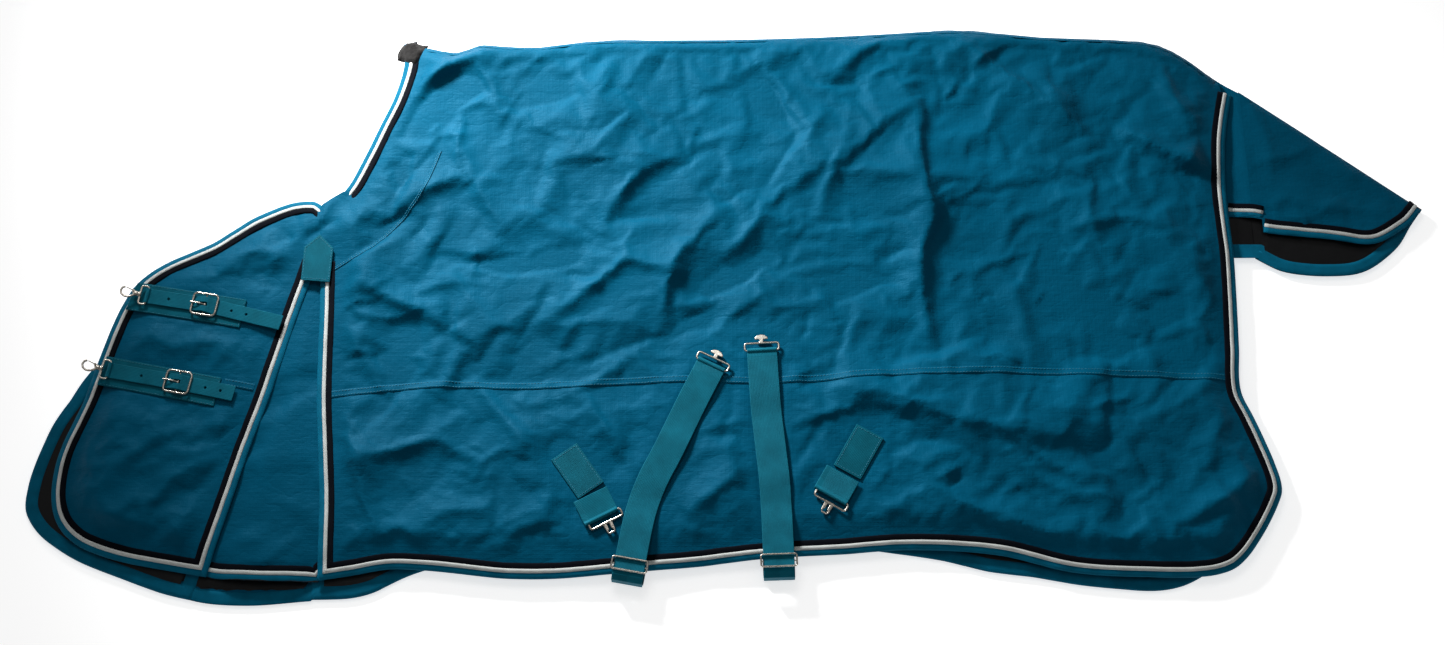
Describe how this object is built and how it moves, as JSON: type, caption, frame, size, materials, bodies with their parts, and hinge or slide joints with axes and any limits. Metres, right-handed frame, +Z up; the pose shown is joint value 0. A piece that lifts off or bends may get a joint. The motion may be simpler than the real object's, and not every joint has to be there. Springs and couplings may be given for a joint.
{
  "type": "turnout rug",
  "caption": "Quilted waterproof turnout rug for a horse, folded in half along its back seam, with chest straps, shoulder gussets, belly surcingles and a tail flap.",
  "frame": {"origin": "on the floor, at the underside of the far half, below the middle of the barrel", "axes": "+X from the chest to the tail, +Y from the hem to the back seam, +Z up"},
  "size_m": [2.2448, 0.989, 0.0454],
  "materials": {
    "shell": "satin ripstop",
    "lining": "plain woven nylon",
    "fill": "fibre batt",
    "binding": "folded tape with a silver cord and a black inner band",
    "webbing": "ribbed polypropylene",
    "fleece": "short pile",
    "fittings": "bright nickel plate"
  },
  "bodies": {
    "far_side": {"far_shell": "shell", "far_fill": "fill", "far_lining": "lining", "far_hem_binding": "binding", "far_neck_binding": "binding", "far_gusset": "shell", "tail_flap_strip": "shell", "front_surcingle_anchor": "webbing", "rear_surcingle_anchor": "webbing"},
    "near_side": {"near_shell": "shell", "near_fill": "fill", "near_lining": "lining", "near_hem_binding": "binding", "near_neck_binding": "binding", "near_gusset": "shell", "gusset_tab": "webbing", "withers_patch": "fleece", "front_receiver_patch": "webbing", "front_receiver_tab": "webbing", "rear_receiver_patch": "webbing", "rear_receiver_tab": "webbing"},
    "near_chest": {"near_chest_shell": "shell", "near_chest_fill": "fill", "near_chest_lining": "lining", "near_chest_binding": "binding", "upper_chest_band": "webbing", "upper_chest_chape": "webbing", "upper_chest_strap": "webbing", "upper_buckle_frame": "fittings", "lower_chest_band": "webbing", "lower_chest_chape": "webbing", "lower_chest_strap": "webbing", "lower_buckle_frame": "fittings"},
    "far_chest": {"far_chest_shell": "shell", "far_chest_fill": "fill", "far_chest_lining": "lining", "far_chest_binding": "binding", "upper_dee_tab": "webbing", "lower_dee_tab": "webbing"},
    "tail_flap": {"tail_flap_near": "shell", "tail_flap_far": "shell"},
    "front_surcingle": {"front_surcingle_strap": "webbing"},
    "front_t_hook": {"front_t_hook": "fittings"},
    "front_slider": {"front_slider": "fittings"},
    "front_receiver_clip": {"front_receiver_clip": "fittings"},
    "rear_surcingle": {"rear_surcingle_strap": "webbing"},
    "rear_t_hook": {"rear_t_hook": "fittings"},
    "rear_slider": {"rear_slider": "fittings"},
    "rear_receiver_clip": {"rear_receiver_clip": "fittings"},
    "upper_snap_eye": {"upper_snap_eye": "fittings"},
    "upper_snap_hook": {"upper_snap_hook": "fittings"},
    "upper_snap_gate": {"upper_snap_gate": "fittings"},
    "upper_buckle_tongue": {"upper_buckle_tongue": "fittings"},
    "upper_chest_dee": {"upper_chest_dee": "fittings"},
    "lower_snap_eye": {"lower_snap_eye": "fittings"},
    "lower_snap_hook": {"lower_snap_hook": "fittings"},
    "lower_snap_gate": {"lower_snap_gate": "fittings"},
    "lower_buckle_tongue": {"lower_buckle_tongue": "fittings"},
    "lower_chest_dee": {"lower_chest_dee": "fittings"}
  },
  "joints": [
    {"name": "spine_fold", "type": "hinge", "parent": "far_side", "child": "near_side", "pos_m": [0, 0.532, 0.0147], "axis": [-1, 0, 0], "range_deg": [0, 175]},
    {"name": "near_gusset_open", "type": "hinge", "parent": "near_side", "child": "near_chest", "pos_m": [-0.657, 0.095, 0.019], "axis": [0, 0, -1], "range_deg": [0, 8]},
    {"name": "far_gusset_open", "type": "hinge", "parent": "far_side", "child": "far_chest", "pos_m": [-0.657, 0.095, 0.019], "axis": [0, 0, -1], "range_deg": [0, 8]},
    {"name": "tail_flap_lift", "type": "hinge", "parent": "far_side", "child": "tail_flap", "pos_m": [0.866, 0.25, 0.0165], "axis": [0, -1, 0], "range_deg": [0, 95]},
    {"name": "front_surcingle_fold", "type": "hinge", "parent": "far_side", "child": "front_surcingle", "pos_m": [-0.14663, -0.43213, 0.013], "axis": [0.9844, -0.1758, 0], "range_deg": [0, 150]},
    {"name": "front_t_hook_swing", "type": "hinge", "parent": "front_surcingle", "child": "front_t_hook", "pos_m": [-0.01767, -0.08381, 0.0345], "axis": [0.8968, -0.4424, 0], "range_deg": [0, 150]},
    {"name": "front_slider_travel", "type": "slide", "parent": "front_surcingle", "child": "front_slider", "axis": [0.1758, 0.9844, 0], "range_m": [0, 0.035]},
    {"name": "front_receiver_swing", "type": "hinge", "parent": "near_side", "child": "front_receiver_clip", "pos_m": [-0.18324, -0.32906, 0.0332], "axis": [-0.8904, -0.4552, 0], "range_deg": [0, 150]},
    {"name": "rear_surcingle_fold", "type": "hinge", "parent": "far_side", "child": "rear_surcingle", "pos_m": [0.08733, -0.42549, 0.013], "axis": [0.9994, 0.0355, 0], "range_deg": [0, 150]},
    {"name": "rear_t_hook_swing", "type": "hinge", "parent": "rear_surcingle", "child": "rear_t_hook", "pos_m": [0.06283, -0.0595, 0.0345], "axis": [0.9985, 0.0554, 0], "range_deg": [0, 150]},
    {"name": "rear_slider_travel", "type": "slide", "parent": "rear_surcingle", "child": "rear_slider", "axis": [-0.0355, 0.9994, 0], "range_m": [0, 0.035]},
    {"name": "rear_receiver_swing", "type": "hinge", "parent": "near_side", "child": "rear_receiver_clip", "pos_m": [0.17154, -0.29896, 0.0332], "axis": [-0.866, 0.5, 0], "range_deg": [0, 150]},
    {"name": "upper_snap_swing", "type": "hinge", "parent": "near_chest", "child": "upper_snap_eye", "pos_m": [-0.926, 0.033, 0.0355], "axis": [0.1576, 0.9875, 0], "range_deg": [0, 90]},
    {"name": "upper_snap_swivel", "type": "hinge", "parent": "upper_snap_eye", "child": "upper_snap_hook", "pos_m": [-0.93957, 0.03517, 0.03817], "axis": [-0.9694, 0.1547, 0.1908], "continuous": true},
    {"name": "upper_gate_press", "type": "hinge", "parent": "upper_snap_hook", "child": "upper_snap_gate", "pos_m": [-0.94786, 0.04054, 0.03993], "axis": [0.1884, -0.0301, 0.9816], "range_deg": [0, 25], "stiffness_Nm_per_rad": 0.02},
    {"name": "upper_tongue_lift", "type": "hinge", "parent": "near_chest", "child": "upper_buckle_tongue", "pos_m": [-0.832, 0.018, 0.0346], "axis": [0.1576, 0.9875, 0], "range_deg": [0, 75]},
    {"name": "upper_dee_swing", "type": "hinge", "parent": "far_chest", "child": "upper_chest_dee", "pos_m": [-0.93, 0.012, 0.0031], "axis": [-0.3303, -0.9439, 0], "range_deg": [0, 80]},
    {"name": "lower_snap_swing", "type": "hinge", "parent": "near_chest", "child": "lower_snap_eye", "pos_m": [-0.973, -0.093, 0.0355], "axis": [0.1773, 0.9842, 0], "range_deg": [0, 90]},
    {"name": "lower_snap_swivel", "type": "hinge", "parent": "lower_snap_eye", "child": "lower_snap_hook", "pos_m": [-0.98653, -0.09056, 0.03817], "axis": [-0.9661, 0.1741, 0.1908], "continuous": true},
    {"name": "lower_gate_press", "type": "hinge", "parent": "lower_snap_hook", "child": "lower_snap_gate", "pos_m": [-0.9947, -0.08503, 0.03993], "axis": [0.1878, -0.0338, 0.9816], "range_deg": [0, 25], "stiffness_Nm_per_rad": 0.02},
    {"name": "lower_tongue_lift", "type": "hinge", "parent": "near_chest", "child": "lower_buckle_tongue", "pos_m": [-0.862, -0.113, 0.0346], "axis": [0.1773, 0.9842, 0], "range_deg": [0, 75]},
    {"name": "lower_dee_swing", "type": "hinge", "parent": "far_chest", "child": "lower_chest_dee", "pos_m": [-0.995, -0.1, 0.0031], "axis": [-0.2873, -0.9578, 0], "range_deg": [0, 80]}
  ]
}
